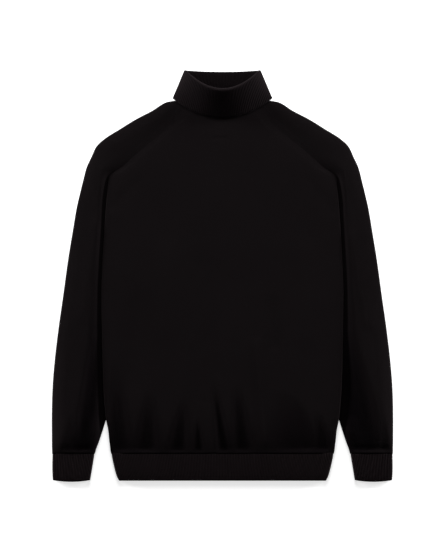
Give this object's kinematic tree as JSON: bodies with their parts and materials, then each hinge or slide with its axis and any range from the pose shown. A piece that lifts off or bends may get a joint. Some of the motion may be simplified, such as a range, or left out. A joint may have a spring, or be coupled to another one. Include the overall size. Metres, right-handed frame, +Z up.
{
  "type": "turtleneck sweater",
  "caption": "Slim fine-knit turtleneck sweater with raglan sleeves, a turned-down collar and ribbed hem and cuffs, laid flat on its back.",
  "frame": {"origin": "on the surface the sweater lies on, under the middle of its outline", "axes": "+X across the garment towards the sleeve on the right of the picture, +Y up the garment from hem to collar, +Z up from the surface through back and front"},
  "size_m": [0.6312, 0.7603, 0.0321],
  "materials": {
    "black_jersey": "matt fine-gauge wool jersey, near-black",
    "black_rib": "matt fine wool rib, near-black"
  },
  "bodies": {
    "root": {"front_panel": "black_jersey", "back_panel": "black_jersey", "sleeve_left": "black_jersey", "sleeve_right": "black_jersey", "cuff_left": "black_rib", "cuff_right": "black_rib", "hem_rib": "black_rib", "collar": "black_rib"}
  },
  "joints": []
}
